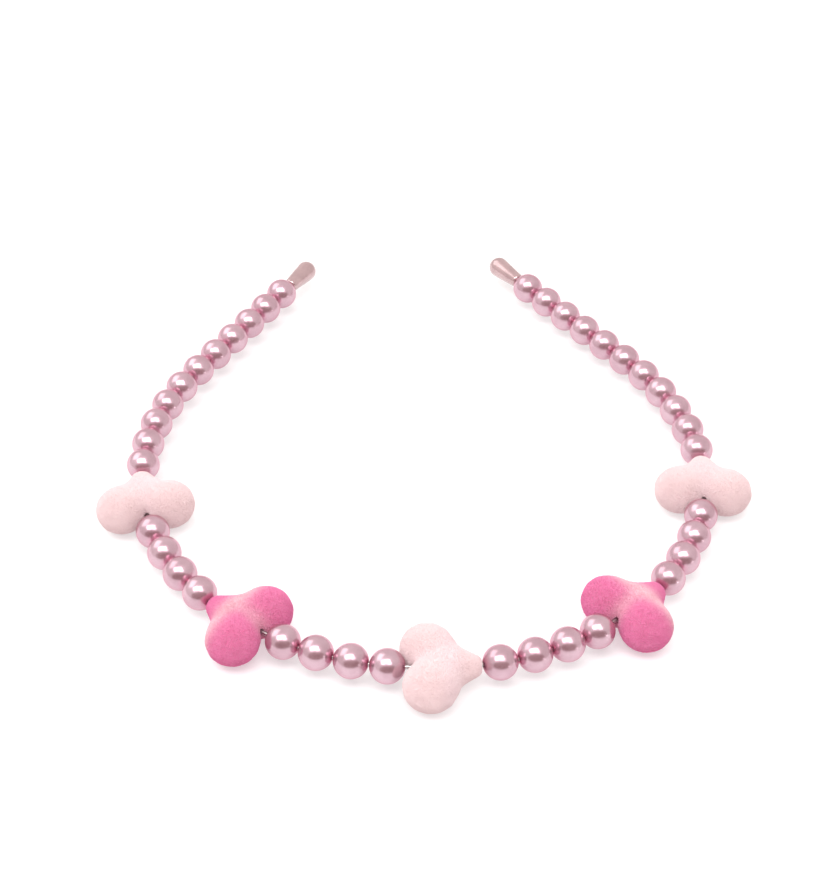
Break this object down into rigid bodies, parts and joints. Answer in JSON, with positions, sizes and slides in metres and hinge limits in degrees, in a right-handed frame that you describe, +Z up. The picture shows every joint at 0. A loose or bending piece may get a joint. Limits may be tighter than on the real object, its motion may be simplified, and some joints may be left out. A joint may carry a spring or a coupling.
{
  "type": "beaded headband",
  "caption": "Open U-shaped headband of glossy mauve pearls and flocked pink heart beads strung on a springy steel wire, with drop-shaped tips.",
  "frame": {"origin": "on the surface that the band lies on, below the middle of its box", "axes": "+Z up off the surface, +Y from the front heart towards the open ends, +X to the right arm as seen from above"},
  "size_m": [0.1578, 0.168, 0.0114],
  "materials": {
    "mauve_pearl": "pearl coated, glossy",
    "pale_flock": "pale pink flock, velvety",
    "pink_flock": "hot pink flock, velvety",
    "tip_pearl": "pearly moulded plastic, glossy",
    "wire_steel": "bright drawn steel"
  },
  "bodies": {
    "root": {"band_wire": "wire_steel", "heart_centre": "pale_flock", "heart_right_front": "pink_flock", "heart_right_side": "pale_flock", "heart_left_front": "pink_flock", "heart_left_side": "pale_flock", "tip_right": "tip_pearl", "tip_left": "tip_pearl", "pearl_right_01": "mauve_pearl", "pearl_right_02": "mauve_pearl", "pearl_right_03": "mauve_pearl", "pearl_right_04": "mauve_pearl", "pearl_right_05": "mauve_pearl", "pearl_right_06": "mauve_pearl", "pearl_right_07": "mauve_pearl", "pearl_right_08": "mauve_pearl", "pearl_right_09": "mauve_pearl", "pearl_right_10": "mauve_pearl", "pearl_right_11": "mauve_pearl", "pearl_right_12": "mauve_pearl", "pearl_right_13": "mauve_pearl", "pearl_right_14": "mauve_pearl", "pearl_right_15": "mauve_pearl", "pearl_right_16": "mauve_pearl", "pearl_right_17": "mauve_pearl", "pearl_right_18": "mauve_pearl", "pearl_right_19": "mauve_pearl", "pearl_left_01": "mauve_pearl", "pearl_left_02": "mauve_pearl", "pearl_left_03": "mauve_pearl", "pearl_left_04": "mauve_pearl", "pearl_left_05": "mauve_pearl", "pearl_left_06": "mauve_pearl", "pearl_left_07": "mauve_pearl", "pearl_left_08": "mauve_pearl", "pearl_left_09": "mauve_pearl", "pearl_left_10": "mauve_pearl", "pearl_left_11": "mauve_pearl", "pearl_left_12": "mauve_pearl", "pearl_left_13": "mauve_pearl", "pearl_left_14": "mauve_pearl", "pearl_left_15": "mauve_pearl", "pearl_left_16": "mauve_pearl", "pearl_left_17": "mauve_pearl", "pearl_left_18": "mauve_pearl", "pearl_left_19": "mauve_pearl"}
  },
  "joints": []
}
